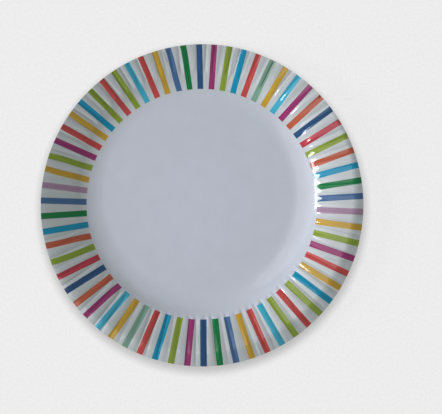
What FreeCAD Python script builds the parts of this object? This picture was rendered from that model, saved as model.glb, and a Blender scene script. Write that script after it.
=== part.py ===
import FreeCAD, Part
import math
import os

# Paper plate: one round blank of coated paperboard, pressed in a heated die into a flat base,
# a sloping wall and a grooved rim. Millimetres, +Z up, the plate stands on z = 0 and the centre
# of its round outline is the origin. The blank lay off centre in the press, so the base, the
# wall and the grooves share a press axis that stands beside the centre of the outline.

# Driving dimensions
board = 0.45              # thickness of the paperboard
plate_radius = 115.0      # round outline
press_shift_x = -4.0      # from the centre of the outline to the press axis
press_shift_y = 8.1
base_radius = 68.0        # flat base, out to the start of the bend
bend_radius = 32.5        # radius of the bend from base to wall, on the upper face
bend_steps = 3            # facets across the bend
wall_angle = 33.0         # slope of the wall, degrees above the table
wall_length = 2.5         # straight part of the wall, along its slope
rim_width = 25.8          # from the top of the wall to the lip, where the rim turns down
rim_inner_slope = 28.0    # slope of the rim where it leaves the wall, degrees
rim_outer_slope = 12.0    # slope of the rim where it reaches the lip
lip_slope = 15.0          # downward slope of the turned-down lip, degrees
groove_count = 104        # grooves round the rim, which take up the gathered board
groove_share = 0.3        # share of the way to the next groove that a groove takes
groove_run = 6.0          # length in which a groove grows from nothing to its full depth
groove_depth = 0.5        # depth of a full groove
fade_run = 20.0           # length beyond the lip in which a groove would fade to nothing
edge_margin = 1.5         # least width of the band along the cut edge

wall_slope = math.radians(wall_angle)
inner_rise = math.tan(math.radians(rim_inner_slope))
outer_rise = math.tan(math.radians(rim_outer_slope))
lip_fall = math.tan(math.radians(lip_slope))


def section(under):
    """Radius and level of the board from the edge of the base to the top of the wall.

    The stops lie on the upper face, or on a face the distance `under` below it.
    """
    radius = bend_radius + under
    slopes = [wall_slope * step / bend_steps for step in range(bend_steps + 1)]
    stops = [(base_radius + radius * math.sin(slope), board + bend_radius - radius * math.cos(slope))
             for slope in slopes]
    foot_radius, foot_level = stops[-1]
    stops.append((foot_radius + wall_length * math.cos(wall_slope),
                  foot_level + wall_length * math.sin(wall_slope)))
    return stops


wall_top, wall_height = section(0)[-1]
groove_full = wall_top + groove_run
lip_radius = wall_top + rim_width


def corners():
    """Direction of each corner round the plate, and -1 in a groove or 0 on a panel between."""
    pitch = 2 * math.pi / groove_count
    shares = [(-groove_share / 2, 0), (0, -1), (groove_share / 2, 0)]
    return [((groove + share) * pitch, side) for groove in range(groove_count) for share, side in shares]


def edge_row(angle):
    """From the press axis to the round outline."""
    along = press_shift_x * math.cos(angle) + press_shift_y * math.sin(angle)
    off_centre = press_shift_x ** 2 + press_shift_y ** 2
    return -along + math.sqrt(along ** 2 + plate_radius ** 2 - off_centre)


def lip_row(angle):
    """The lip, or a line just inside the cut edge where the blank ends before the lip."""
    return min(lip_radius, edge_row(angle) - edge_margin)


def full_row(angle):
    """Where the grooves reach their full depth."""
    return groove_full


def middle_row(angle):
    """Halfway between the full grooves and the lip."""
    return (groove_full + lip_row(angle)) / 2


def rim_level(radius):
    """Height of the panels' upper face: an arch, then the turned-down lip."""
    inside = min(radius, lip_radius) - wall_top
    easing = (inner_rise - outer_rise) / (2 * rim_width)
    arch = inner_rise * inside - easing * inside ** 2
    return wall_height + arch - max(0, radius - lip_radius) * lip_fall


def rim_rise(radius):
    """Rise of the rim for each millimetre outwards."""
    if radius > lip_radius:
        return -lip_fall
    share = (radius - wall_top) / rim_width
    return inner_rise + (outer_rise - inner_rise) * share


def depth_at(radius):
    """Depth of the grooves at one radius."""
    growing = min(1, (radius - wall_top) / groove_run)
    fading = max(0, 1 - max(0, radius - lip_radius) / fade_run)
    return groove_depth * growing * fading


def around(radius, angle, level):
    """A point at one distance and direction from the press axis."""
    return FreeCAD.Vector(press_shift_x + radius * math.cos(angle),
                          press_shift_y + radius * math.sin(angle), level)


def level_points(radius, level):
    """A row of points round the press axis at one level."""
    return [around(radius, angle, level) for angle, side in corners()]


def rim_points(row, under):
    """A row of points round the rim that dips into each groove."""
    points = []
    for angle, side in corners():
        radius = row(angle)
        drop = under * math.hypot(1, rim_rise(radius))
        points.append(around(radius, angle, rim_level(radius) + side * depth_at(radius) - drop))
    return points


def flat_face(*points):
    """The flat face inside a closed line of points."""
    return Part.Face(Part.makePolygon([*points, points[0]]))


def plain_band(inner, outer):
    """Flat faces between two rows of points, one for each side."""
    return [flat_face(inner[index - 1], inner[index], outer[index], outer[index - 1])
            for index in range(len(inner))]


def grooved_band(inner, outer):
    """Flat faces between two rows of points, two for each side, because the grooves twist them."""
    faces = []
    for index in range(len(inner)):
        faces.append(flat_face(inner[index - 1], inner[index], outer[index]))
        faces.append(flat_face(inner[index - 1], outer[index], outer[index - 1]))
    return faces


def board_face(under):
    """The upper face of the board, or the face a distance under it, out to the cut edge."""
    level_rows = [level_points(radius, level) for radius, level in section(under)]
    rim_rows = [rim_points(row, under) for row in (full_row, middle_row, lip_row, edge_row)]
    faces = [flat_face(*level_rows[0])]
    for inner, outer in zip(level_rows, level_rows[1:]):
        faces += plain_band(inner, outer)
    for inner, outer in zip(level_rows[-1:] + rim_rows, rim_rows):
        faces += grooved_band(inner, outer)
    return faces


def build_plate():
    """The whole plate: upper face, under face and the cut edge between them, as one solid."""
    cut_edge = plain_band(rim_points(edge_row, 0), rim_points(edge_row, board))
    return Part.Solid(Part.Shell(board_face(0) + board_face(board) + cut_edge))


os.makedirs("parts", exist_ok=True)
build_plate().exportStep("parts/plate.step")
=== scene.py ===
import bmesh
import bpy
import math
import random
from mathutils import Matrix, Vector


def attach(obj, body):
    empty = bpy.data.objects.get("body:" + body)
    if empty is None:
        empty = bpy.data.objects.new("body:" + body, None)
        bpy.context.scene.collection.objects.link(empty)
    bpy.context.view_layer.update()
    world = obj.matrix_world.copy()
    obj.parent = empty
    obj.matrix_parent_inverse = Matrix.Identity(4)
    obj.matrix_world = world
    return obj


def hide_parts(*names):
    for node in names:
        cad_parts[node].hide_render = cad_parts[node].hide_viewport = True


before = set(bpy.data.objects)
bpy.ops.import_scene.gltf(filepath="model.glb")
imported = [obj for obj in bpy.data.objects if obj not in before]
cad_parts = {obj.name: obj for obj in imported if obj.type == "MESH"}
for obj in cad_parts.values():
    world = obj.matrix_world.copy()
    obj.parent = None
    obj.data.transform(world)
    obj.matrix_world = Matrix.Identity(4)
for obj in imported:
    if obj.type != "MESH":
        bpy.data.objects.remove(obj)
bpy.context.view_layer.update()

# Camera. The photograph is 442 by 414 pixels and looks straight down on the plate, whose outline
# stands a little to the left of its middle.
photo_width = 442
photo_height = 414
outline_across = 202.14
outline_down = 205.43
outline_pixels = 161.7
plate_radius = 0.115
rim_height = 0.0167
pixel = plate_radius / outline_pixels
camera = bpy.data.objects.new("camera", bpy.data.cameras.new("camera"))
camera.data.sensor_width = 36
camera.data.lens = 85
camera_distance = pixel * photo_width * camera.data.lens / camera.data.sensor_width
camera.location = ((photo_width / 2 - outline_across) * pixel,
                   (outline_down - photo_height / 2) * pixel,
                   rim_height + camera_distance)
bpy.context.scene.collection.objects.link(camera)
bpy.context.scene.camera = camera
bpy.context.scene.view_settings.view_transform = "Standard"

# Plate. One round blank of white paperboard, pressed in a heated die into a flat base, a
# sloping wall and a fluted rim. It lay off centre in the press, so the base, the wall and the
# flutes have their centre, the press axis, beside that of the outline. Lengths are in metres.
# Bearings are in degrees, clockwise from the upper edge of the photograph.
board = 0.00045
press_axis = Vector((-0.0040, 0.0081, 0))
base_radius = 0.0665
foot_radius = 0.0533        # radius of the first, gentle part of the bend
foot_slope = math.radians(13)
bend_radius = 0.0253        # radius of the rest of the bend
wall_slope = math.radians(33)
wall_length = 0.0005
wall_foot = base_radius + foot_radius * math.sin(foot_slope)
wall_bend = wall_foot + bend_radius * (math.sin(wall_slope) - math.sin(foot_slope))
wall_top = wall_bend + wall_length * math.cos(wall_slope)
rim_slope = math.radians(29.5)
lip_radius = 0.1136
lip_slope = math.radians(13)
lip_turn = 0.0020
fallen_slope = math.radians(-15)
lifted_bearing = 258
lifted_slope = 0.20
lifted_whole = 30           # degrees to each side in which the lip is lifted in full
lifted_reach = 80           # degrees to each side in which it is lifted at all
flute_count = 104
flute_full = 0.0950
flute_depth = 0.00034
flute_fade = 0.6
flute_fade_end = 0.128
groove_width = 0.10         # as a share of the way from flute to flute
bulge = 0.00010             # of the panels between the grooves
bulge_start = 0.0875
bulge_full = 0.0900
swelling = 1.1              # extra bulge beside a deep groove, at its inner end
swelling_full = 0.0915
swelling_end = 0.0965
points_to_a_flute = 10


def ramp(value, start, end):
    """0 before start, 1 after end, and smooth between them."""
    share = min(1, max(0, (value - start) / (end - start)))
    return share * share * (3 - 2 * share)


def turn_from(middle, bearing):
    """Degrees from one bearing to another, from -180 to 180."""
    return (bearing - middle + 180) % 360 - 180


def slope_at(radius):
    """Rise of the board for each metre outwards, midway between crest and valley."""
    if radius <= base_radius:
        return 0
    if radius <= wall_foot:
        return math.tan(math.asin((radius - base_radius) / foot_radius))
    if radius <= wall_bend:
        return math.tan(math.asin(math.sin(foot_slope) + (radius - wall_foot) / bend_radius))
    if radius <= wall_top:
        return math.tan(wall_slope)
    share = min(1, (radius - wall_top) / (lip_radius - wall_top))
    arch = math.tan(rim_slope) + (math.tan(lip_slope) - math.tan(rim_slope)) * share
    fallen = ramp(radius, lip_radius - lip_turn, lip_radius + lip_turn)
    return arch + (math.tan(fallen_slope) - arch) * fallen


# Creases: bearing, radii where it starts and ends, height, half width, sideways drift.
creases = [
    (6.7, 0.090, 0.113, -0.00015, 0.0009, 0),
    (12.3, 0.088, 0.113, -0.00022, 0.0010, 0),
    (18.2, 0.088, 0.114, -0.00022, 0.0010, 0),
    (24.6, 0.090, 0.114, 0.00018, 0.0009, 0),
    (26.0, 0.090, 0.115, -0.00035, 0.0006, 0),
    (28.3, 0.088, 0.114, -0.00022, 0.0010, 0),
    (34.3, 0.088, 0.113, -0.00020, 0.0010, 0),
    (38.5, 0.092, 0.108, 0.00030, 0.0008, 0),
    (44.7, 0.090, 0.106, 0.00028, 0.0008, 0),
    (55.2, 0.086, 0.092, 0.00022, 0.0008, 0),
    (59.4, 0.087, 0.093, 0.00022, 0.0008, 0),
    (65.6, 0.084, 0.090, 0.00018, 0.0008, 0),
    (67.0, 0.088, 0.108, -0.00012, 0.0007, 0.0006),
    (112.0, 0.092, 0.113, -0.00015, 0.0007, 0.0016),
    (131.1, 0.083, 0.093, 0.00036, 0.0007, 0),
    (137.6, 0.086, 0.097, 0.00038, 0.0007, 0),
    (139.6, 0.096, 0.108, 0.00020, 0.0007, 0),
    (143.0, 0.098, 0.109, 0.00038, 0.0006, 0),
    (158.5, 0.106, 0.116, 0.00035, 0.0007, 0),
    (161.8, 0.098, 0.110, 0.00040, 0.0006, 0),
    (173.5, 0.100, 0.111, 0.00025, 0.0008, 0),
    (249.0, 0.092, 0.110, -0.00012, 0.0010, 0.0008),
    (254.2, 0.090, 0.104, 0.00025, 0.0010, -0.0008),
    (286.8, 0.094, 0.113, -0.00020, 0.0010, 0.0005),
    (346.8, 0.094, 0.113, -0.00035, 0.0006, -0.0014),
    (350.8, 0.094, 0.108, -0.00025, 0.0009, 0),
]


def crease_at(bearing, radius):
    """Height of the creases at a bearing and radius from the centre of the outline."""
    height = 0
    for middle, start, end, rise, half_width, drift in creases:
        share = (radius - start) / (end - start)
        if 0 < share < 1:
            across = math.radians(turn_from(middle, bearing)) * radius - drift * share
            height += rise * math.exp(-(across / half_width) ** 2) * math.sin(math.pi * share) ** 0.5
    return height


# Bent stripes: bearing, and how far the print is moved clockwise at the inner end, the middle and
# the outer edge, in degrees. The move fades out within bent_reach to each side.
bent_stripes = [
    (215.0, 0.1, -0.1, 0.1),
    (226.0, -0.3, 0.3, 0.3),
    (249.5, 0.1, -0.2, 0.1),
    (255.0, -0.3, 0.3, 0.6),
    (283.0, -0.4, 0.0, 0.4),
    (288.5, 0.3, 0.0, -0.4),
    (348.0, 0.7, -0.1, -0.5),
    (353.0, 0.4, 0.0, -0.4),
]
bent_reach = 2.6
stripe_middle = 0.0985
stripe_half_length = 0.0155


def print_shift_at(bearing, radius):
    """Degrees by which the print is moved anticlockwise, at a bearing and radius."""
    total = 0
    share = min(1, max(-1, (radius - stripe_middle) / stripe_half_length))
    for middle, inner, centre, outer in bent_stripes:
        away = abs(turn_from(middle, bearing))
        if away < bent_reach:
            end = outer if share > 0 else inner
            moved = centre + (end - centre) * share * share
            total -= moved * (1 - ramp(away, bent_reach * 0.6, bent_reach))
    return total


# Grooves: depth as a multiple of flute_depth, and lean as a share of the way to the next one. Five
# on the right are shallow.
chance = random.Random(5)
grooves = [(chance.uniform(0.3, 1.6), chance.uniform(-0.12, 0.12)) for flute in range(flute_count)]
for flute in (8, 9, 10, 14, 15):
    grooves[flute] = (0.3, 0)

section_step = 0.0001
section_end = 0.13
section = [board]
while len(section) * section_step < section_end:
    section.append(section[-1] + slope_at((len(section) - 0.5) * section_step) * section_step)


def height_at(radius):
    """Height of the board's upper face, read off the section."""
    place = radius / section_step
    before = int(place)
    return section[before] + (section[before + 1] - section[before]) * (place - before)


def lifted_at(bearing, radius):
    """Height by which the lip stays up at the lower left, where it was pressed down less."""
    away = abs(turn_from(lifted_bearing, bearing))
    return lifted_slope * max(0, radius - lip_radius) * (1 - ramp(away, lifted_whole, lifted_reach))


def flute_at(angle, radius):
    """Height of the flutes: narrow grooves that gather the board, with arched panels between."""
    turn = angle / (2 * math.pi) * flute_count
    number = math.floor(turn + 0.5)
    depth, lean = grooves[number % flute_count]
    share = turn - number - lean
    groove = math.exp(-(share / groove_width) ** 2) * depth
    deep = ramp(radius, wall_top, flute_full)
    inner_end = 1 - ramp(radius, swelling_full, swelling_end)
    swollen = ramp(radius, bulge_start, bulge_full) * (1 + swelling * depth * inner_end)
    fading = 1 - flute_fade * ramp(radius, lip_radius, flute_fade_end)
    return -(flute_depth * groove * deep + bulge * math.cos(2 * math.pi * share) * swollen) * fading


def edge_at(angle):
    """From the press axis to the outline, at an angle clockwise from the upper edge of the photo."""
    along = press_axis.x * math.sin(angle) + press_axis.y * math.cos(angle)
    return -along + math.sqrt(along ** 2 + plate_radius ** 2 - press_axis.length_squared)


# Rings of points: sparse on the flat base, close where the flutes begin and by the cut edge.
rows = [0, 0.035, 0.068]
for end, gap in [(wall_top, 0.0014), (flute_full, 0.0010), (plate_radius - 0.003, 0.0014),
                 (plate_radius, 0.0008)]:
    while rows[-1] < end:
        rows.append(rows[-1] + gap)

blank = bmesh.new()
line = [blank.verts.new(press_axis + Vector((radius, 0, 0))) for radius in rows]
spokes = [blank.edges.new(pair) for pair in zip(line, line[1:])]
bmesh.ops.spin(blank, geom=line + spokes, cent=press_axis, axis=(0, 0, 1), angle=2 * math.pi,
               steps=flute_count * points_to_a_flute, use_merge=True)
bmesh.ops.remove_doubles(blank, verts=blank.verts, dist=0.000001)
print_shift = blank.verts.layers.float.new("print_shift")
for vert in blank.verts:
    arm = vert.co - press_axis
    angle = math.atan2(arm.x, arm.y)
    radius = arm.length
    if radius > flute_full:
        stretch = (edge_at(angle) - flute_full) / (rows[-1] - flute_full)
        radius = flute_full + (radius - flute_full) * stretch
    height = height_at(radius) + flute_at(angle, radius) + lifted_at(math.degrees(angle), radius)
    vert.co = press_axis + Vector((radius * math.sin(angle), radius * math.cos(angle), height))
    bearing = math.degrees(math.atan2(vert.co.x, vert.co.y))
    from_centre = math.hypot(vert.co.x, vert.co.y)
    vert.co.z += crease_at(bearing, from_centre)
    vert[print_shift] = print_shift_at(bearing, from_centre)
bmesh.ops.recalc_face_normals(blank, faces=blank.faces)
if sum(face.normal.z for face in blank.faces) < 0:
    bmesh.ops.reverse_faces(blank, faces=blank.faces)
for face in blank.faces:
    face.smooth = True
for edge in blank.edges:
    edge.smooth = not edge.is_boundary
plate = bpy.data.objects.new("pressed_plate", bpy.data.meshes.new("pressed_plate"))
blank.to_mesh(plate.data)
blank.free()
bpy.context.scene.collection.objects.link(plate)
thickness = plate.modifiers.new("board", "SOLIDIFY")
thickness.thickness = board
thickness.offset = -1
thickness.material_offset = 1
thickness.material_offset_rim = 1


class Signal:
    """An output socket of a shader node. Sums and products of signals add Math nodes."""

    def __init__(self, socket):
        self.socket = socket

    def node(self, kind, settings, inputs, output=0):
        """A new node of a kind, with its settings and the values or signals of its inputs."""
        tree = self.socket.id_data
        made = tree.nodes.new(kind)
        for name, value in settings.items():
            setattr(made, name, value)
        for name, value in inputs.items():
            if isinstance(value, Signal):
                tree.links.new(value.socket, made.inputs[name])
            else:
                made.inputs[name].default_value = value
        return Signal(made.outputs[output])

    def math(self, operation, *others):
        """This signal as the first number of a Math node."""
        numbers = dict(enumerate([self, *others]))
        return self.node("ShaderNodeMath", {"operation": operation}, numbers)

    def step(self, start, end):
        """0 before start, 1 after end, and smooth between them."""
        return self.node("ShaderNodeMapRange", {"interpolation_type": "SMOOTHSTEP"},
                         {"Value": self, "From Min": start, "From Max": end})

    def part(self, index):
        """One coordinate of a place or direction: 0 is X, 1 is Y and 2 is Z."""
        return self.node("ShaderNodeSeparateXYZ", {}, {0: self}, index)

    def slant(self, other):
        """Length of the slanting side over this length and another at right angles to it."""
        return (self * self + other * other).math("SQRT")

    def noise(self, scale, detail):
        """Noise over a place."""
        return self.node("ShaderNodeTexNoise", {}, {"Vector": self, "Scale": scale, "Detail": detail})

    def between(self, first, second):
        """A colour that goes from the first to the second as this signal goes from 0 to 1."""
        return self.node("ShaderNodeMix", {"data_type": "RGBA"},
                         {"Factor": self, 6: first, 7: second}, 2)

    def __add__(self, other):
        return self.math("ADD", other)

    def __radd__(self, other):
        return self.math("ADD", other)

    def __sub__(self, other):
        return self.math("SUBTRACT", other)

    def __rsub__(self, other):
        return self.math("MULTIPLY", -1).math("ADD", other)

    def __mul__(self, other):
        return self.math("MULTIPLY", other)

    def __rmul__(self, other):
        return self.math("MULTIPLY", other)

    def __truediv__(self, other):
        return self.math("DIVIDE", other)


def paper(name):
    """A new material with its shader and a signal of its Object coordinates."""
    material = bpy.data.materials.new(name)
    material.use_nodes = True
    nodes = material.node_tree.nodes
    coordinates = nodes.new("ShaderNodeTexCoord")
    return material, nodes["Principled BSDF"], Signal(coordinates.outputs["Object"])


def shade(shader, name, signal):
    """Feeds one socket of a shader."""
    signal.socket.id_data.links.new(signal.socket, shader.inputs[name])


def linear(part):
    """One part of a screen colour, from 0 to 1, as an amount of light."""
    return part / 12.92 if part <= 0.04045 else ((part + 0.055) / 1.055) ** 2.4


def srgb(code):
    """The solid colour of six hexadecimal digits."""
    return (*[linear(int(code[start:start + 2], 16) / 255) for start in (0, 2, 4)], 1)


# Printed face. Sixty-four stripes in thirteen flat inks run square to the edge, in a run of
# thirty-two that comes twice, over white board. A clear glossy varnish covers all of it.
inks = {
    "navy": srgb("295382"),
    "magenta": srgb("9E3472"),
    "lime": srgb("8DA336"),
    "blue": srgb("0195BD"),
    "red": srgb("C94B49"),
    "crimson": srgb("BE3B4C"),
    "sage": srgb("82AB98"),
    "yellow": srgb("C8A035"),
    "aqua": srgb("43B5D3"),
    "orange": srgb("C15E43"),
    "green": srgb("017C42"),
    "periwinkle": srgb("496E9D"),
    "mauve": srgb("AC8CA7"),
}
stripe_order = """
    navy magenta lime blue red sage yellow aqua magenta orange navy crimson lime orange blue green
    periwinkle mauve yellow lime magenta red yellow blue lime red lime aqua red yellow periwinkle green
""".split()
stripe_count = 64
stripe_pitch = 360 / stripe_count
stripe_half_width = 0.0022
stripe_softness = 0.00008
stripe_start = 0.08335
start_softness = 0.0001
start_centre_x = -0.0007
start_centre_y = 0.0012
print_turn = 0.80           # degrees by which the whole print is turned anticlockwise
print_turn_right = 2.57     # more degrees at the right, and fewer at the left
print_turn_top = 0.30       # more degrees at the top, and fewer at the bottom
middle_board = srgb("D3D6E5")
white_board = srgb("CFD4E0")
pressed_board = srgb("CDD3D6")
sage_scuff_and_glare = srgb("C6D2CB")
shade_and_mottle_grey = (0.03, 0.04, 0.04, 1)
printed, varnish, place = paper("printed_board")
across = place.part(0)
upward = place.part(1)
distance = across.slant(upward)
shift = place.node("ShaderNodeAttribute", {"attribute_name": "print_shift"}, {}, "Fac")
bearing = across.math("ARCTAN2", upward) * math.degrees(1)
turned = bearing + print_turn + print_turn_right * (across / distance)
turned = turned + print_turn_top * (upward / distance) + shift
stripe = turned / stripe_pitch + stripe_count
nearest = (stripe + 0.5).math("FLOOR")
off_line = (stripe - nearest).math("ABSOLUTE") * math.radians(stripe_pitch) * distance
from_start = (across - start_centre_x).slant(upward - start_centre_y) - stripe_start
on_line = 1 - off_line.step(stripe_half_width - stripe_softness, stripe_half_width + stripe_softness)
inked = on_line * from_start.step(-start_softness, start_softness)
run_share = (nearest.math("MODULO", len(stripe_order)) + 0.5) / len(stripe_order)
ink = run_share.node("ShaderNodeValToRGB", {}, {0: run_share})
ink_ramp = ink.socket.node.color_ramp
ink_ramp.interpolation = "CONSTANT"
for index, name in enumerate(stripe_order):
    start = index / len(stripe_order)
    stop = ink_ramp.elements[index] if index < 2 else ink_ramp.elements.new(start)
    stop.position = start
    stop.color = inks[name]
board_colour = distance.step(0.010, 0.060).between(middle_board, white_board)
board_colour = distance.step(0.081, 0.087).between(board_colour, pressed_board)
colour = inked.between(board_colour, ink)

# Fold shade: painted shade in thin dark lines along the folds, and in a nick in the cut edge. Each
# has the bearing and radius of its inner end, those of its outer end, and how dark it is.
fold_shade_lines = [
    (26.2, 0.0930, 26.2, 0.1152, 1.6),
    (347.3, 0.0983, 345.8, 0.1136, 0.8),
    (257.6, 0.0920, 255.4, 0.1010, 0.5),
    (113.2, 0.0930, 111.2, 0.1120, 0.35),
    (11.9, 0.0900, 12.3, 0.1130, 0.35),
    (18.0, 0.0900, 18.3, 0.1130, 0.35),
    (34.2, 0.0900, 34.4, 0.1130, 0.35),
    (47.7, 0.1126, 46.8, 0.1156, 2.2),
    (288.5, 0.0949, 289.2, 0.1066, 0.6),
]
shade_line_core = 0.0001
shade_line_edge = 0.0006
bearing = (bearing + 360).math("MODULO", 360)
fold_shade = 0
for start, inner, end, outer, darkness in fold_shade_lines:
    along = (distance - inner) / (outer - inner)
    away = (bearing - start - along * (end - start)).math("ABSOLUTE") * math.radians(1) * distance
    shade_line = (1 - away.step(shade_line_core, shade_line_edge)) * along.step(0, 0.2) * (1 - along.step(0.9, 1))
    fold_shade = shade_line * darkness + fold_shade

# The sage stripe is painted pale beside its fold, partly a scuff and partly a painted glare. The
# rim is painted darker further out as painted shade, and the board is faintly mottled.
from_axis = (across - press_axis.x).slant(upward - press_axis.y)
scuff_and_glare = bearing.step(26.5, 26.8) * (1 - bearing.step(28.8, 29.3)) * distance.step(0.102, 0.107)
colour = (scuff_and_glare * 0.6).between(colour, sage_scuff_and_glare)
# Painted shade: darker towards the rim's edge and along the folds, with a faint random mottle.
painted_shade_and_mottle = from_axis.step(0.090, 0.107) * 0.14 + fold_shade * 0.45 + place.noise(70, 4) * 0.1
colour = painted_shade_and_mottle.between(colour, shade_and_mottle_grey)
shade(varnish, "Base Color", colour)
varnish.inputs["Roughness"].default_value = 0.7
varnish.inputs["Specular IOR Level"].default_value = 0
varnish.inputs["Coat Weight"].default_value = 1
varnish.inputs["Coat Roughness"].default_value = 0.11
fibres = place.noise(900, 4)
waves = place.noise(90, 2)
relief = place.node("ShaderNodeBump", {},
                    {"Height": fibres * 0.3 + waves, "Distance": 0.00008, "Strength": 0.6})
shade(varnish, "Normal", relief)

# Underside and cut edge. The back of the board is neither printed nor varnished, so it is a
# duller white with a fibrous surface.
bare, pulp, place = paper("bare_board")
flecks = place.noise(1200, 5)
shade(pulp, "Base Color", flecks.between(srgb("C4C3BF"), srgb("D6D5D0")))
pulp.inputs["Roughness"].default_value = 0.85
shade(pulp, "Normal", place.node("ShaderNodeBump", {}, {"Height": flecks, "Distance": 0.00006}))

plate.data.materials.append(printed)
plate.data.materials.append(bare)
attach(plate, "root")
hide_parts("plate")

# Floor. A sheet of off-white paper under the plate, which shows the plate's soft shadow. A painted
# shadow makes it darker in a narrow ring by the plate's edge, where the rim keeps off the light of the
# room.
floor_size = 6
floor_drop = 0.0002
shadow_ring_centre_y = -0.003
shadow_ring_start = 0.114
shadow_ring_end = 0.124
sheet = bmesh.new()
bmesh.ops.create_grid(sheet, x_segments=1, y_segments=1, size=floor_size)
bmesh.ops.translate(sheet, verts=sheet.verts, vec=(0, 0, -floor_drop))
floor = bpy.data.objects.new("floor", bpy.data.meshes.new("floor"))
sheet.to_mesh(floor.data)
sheet.free()
bpy.context.scene.collection.objects.link(floor)
ground, matte, place = paper("floor")
matte.inputs["Base Color"].default_value = srgb("484848")
matte.inputs["Roughness"].default_value = 0.9
matte.inputs["Specular IOR Level"].default_value = 0
seen = place.node("ShaderNodeLightPath", {}, {}, "Is Camera Ray")
# Painted shadow: the floor's glow is darker in a ring round the plate's edge.
from_shadow_ring = place.part(0).slant(place.part(1) - shadow_ring_centre_y)
glow_and_painted_shadow = (0.6 + seen * 0.296) * (0.61 + 0.39 * from_shadow_ring.step(shadow_ring_start, shadow_ring_end))
shade(matte, "Emission Strength", glow_and_painted_shadow)
shade(matte, "Emission Color", place.noise(650, 3).between(srgb("EAEAEA"), srgb("FAFAFA")))
floor.data.materials.append(ground)


def lamp(name, bearing, height, distance, energy):
    """An area lamp that faces the plate, from a bearing and a height in degrees."""
    turn = math.radians(bearing)
    rise = math.radians(height)
    towards = Vector((math.sin(turn) * math.cos(rise), math.cos(turn) * math.cos(rise), math.sin(rise)))
    made = bpy.data.objects.new(name, bpy.data.lights.new(name, "AREA"))
    made.data.energy = energy
    made.location = towards * distance
    made.rotation_euler = towards.to_track_quat("Z", "Y").to_euler()
    bpy.context.scene.collection.objects.link(made)
    return made.data


# Light. A window stands low on the left and gives the shine on the far wall and on the flutes,
# a lamp hangs high on the left, and the pale room round them fills the shadows.
window = lamp("window", 266, 27, 4.0, 122)
window.shape = "RECTANGLE"
window.size = 1.3
window.size_y = 1.4
window.color = (1, 0.985, 1.035)
ceiling = lamp("ceiling_lamp", 280, 60, 3.2, 21)
ceiling.shape = "DISK"
ceiling.size = 2.6

# Room. It gives an even light from all sides. Its pale walls and darker ceiling are seen by the
# camera and in the shine of the varnish only.
room = bpy.data.worlds.new("room")
room.use_nodes = True
bpy.context.scene.world = room
backdrop = room.node_tree.nodes["Background"]
path = room.node_tree.nodes.new("ShaderNodeLightPath")
camera_ray = Signal(path.outputs["Is Camera Ray"])
glossy_ray = Signal(path.outputs["Is Glossy Ray"])
clear_ray = Signal(path.outputs["Is Transmission Ray"])
in_view = camera_ray.math("MAXIMUM", glossy_ray).math("MAXIMUM", clear_ray)
direction = Signal(room.node_tree.nodes.new("ShaderNodeTexCoord").outputs["Generated"])
low_down = 1 - direction.part(2).step(0.35, 0.65)
backdrop.inputs["Color"].default_value = srgb("E9EEE8")
shade(backdrop, "Strength", 0.316 + in_view * low_down * 0.69)
